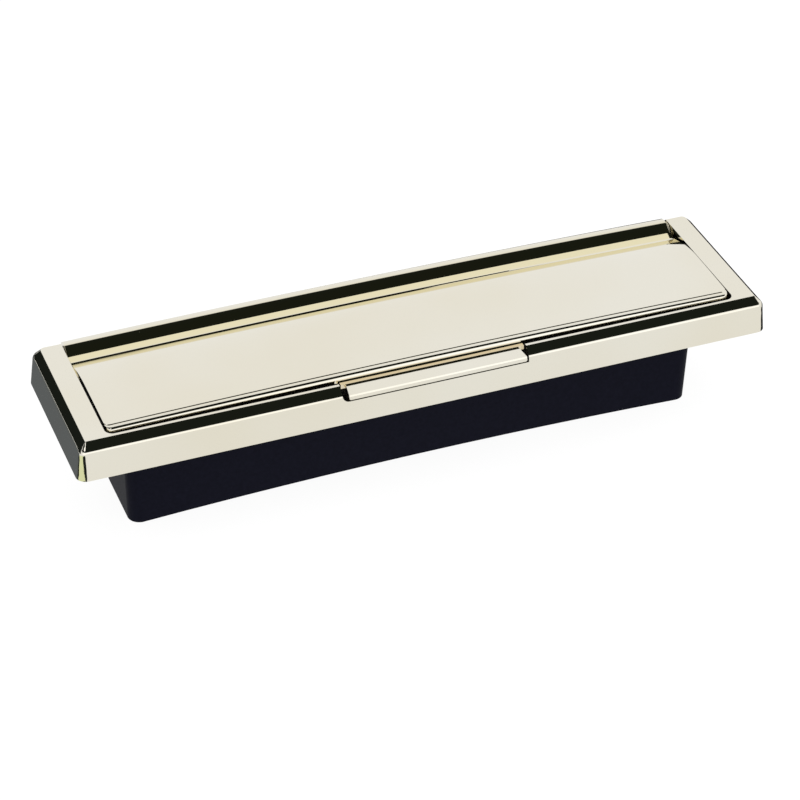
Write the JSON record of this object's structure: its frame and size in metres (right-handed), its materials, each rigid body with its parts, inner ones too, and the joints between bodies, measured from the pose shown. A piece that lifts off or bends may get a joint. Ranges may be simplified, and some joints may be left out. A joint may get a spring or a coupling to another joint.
{
  "type": "letter plate",
  "caption": "Polished gold letter plate: bevelled frame, sprung hinged flap with finger pull, and a black telescopic sleeve with draught brushes behind.",
  "frame": {"origin": "centre of the frame's seating plane on the door face", "axes": "+X along the plate's length, +Y across it from the finger pull to the hinge, +Z out of the door"},
  "size_m": [0.31, 0.0792, 0.0613],
  "materials": {
    "polished_gold": "polished gold plating",
    "black_plastic": "fine satin moulding",
    "steel": "bright zinc",
    "spring_steel": "drawn wire",
    "nylon": "natural nylon",
    "foam": "closed-cell foam",
    "rubber": "soft rubber",
    "insert_brass": "machined",
    "aluminium": "mill finish",
    "bristle": "nylon pile"
  },
  "bodies": {
    "frame": {"outer_frame": "polished_gold", "sleeve": "black_plastic", "hinge_bush_left": "nylon", "hinge_bush_right": "nylon", "closing_spring_left": "spring_steel", "closing_spring_right": "spring_steel", "flap_seal": "foam", "frame_gasket": "foam", "flap_buffers": "rubber", "sleeve_screws": "steel", "fixing_insert_left": "insert_brass", "fixing_insert_right": "insert_brass", "brush_rail_front": "aluminium", "brush_rail_back": "aluminium", "brush_front": "bristle", "brush_back": "bristle"},
    "flap": {"flap": "polished_gold", "hinge_pin_left": "steel", "hinge_pin_right": "steel", "pin_clip_left": "spring_steel", "pin_clip_right": "spring_steel"}
  },
  "joints": [
    {"name": "flap_hinge", "type": "hinge", "parent": "frame", "child": "flap", "pos_m": [0, 0.0336, 0.01135], "axis": [-1, 0, 0], "range_deg": [0, 90], "stiffness_Nm_per_rad": 0.04, "springref_deg": -85.94, "deforming": ["closing_spring_left", "closing_spring_right"]}
  ]
}
